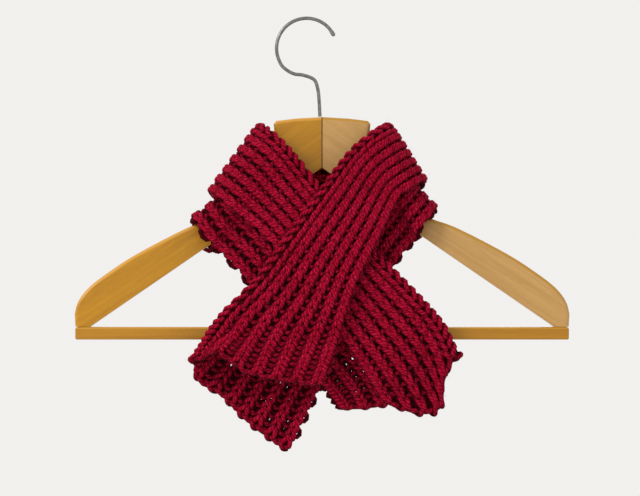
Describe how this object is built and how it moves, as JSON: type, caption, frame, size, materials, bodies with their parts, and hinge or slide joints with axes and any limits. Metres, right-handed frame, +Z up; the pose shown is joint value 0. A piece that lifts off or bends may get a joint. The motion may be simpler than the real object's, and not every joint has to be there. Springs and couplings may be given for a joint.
{
  "type": "knit scarf on a wooden hanger",
  "caption": "Short chunky rib-knit scarf, folded lengthwise and pulled through its own slit, wound round the neck of a flat wooden coat hanger with a wire hook.",
  "frame": {"origin": "the inside top of the wire hook, where the hanger hangs on a rail", "axes": "+X to the viewer's right along the hanger, +Y away from the viewer, +Z up"},
  "size_m": [0.4328, 0.1344, 0.381],
  "materials": {
    "crimson_knit": "matte plied wool rib knit",
    "golden_beech": "satin lacquered beech",
    "zinc_wire": "dull zinc-plated wire"
  },
  "bodies": {
    "root": {"scarf_under_stretch": "crimson_knit", "scarf_nape_stretch": "crimson_knit", "scarf_over_stretch": "crimson_knit", "hanger_arm_left": "golden_beech", "hanger_arm_right": "golden_beech", "hanger_bar": "golden_beech", "hanger_hook": "zinc_wire"}
  },
  "joints": []
}
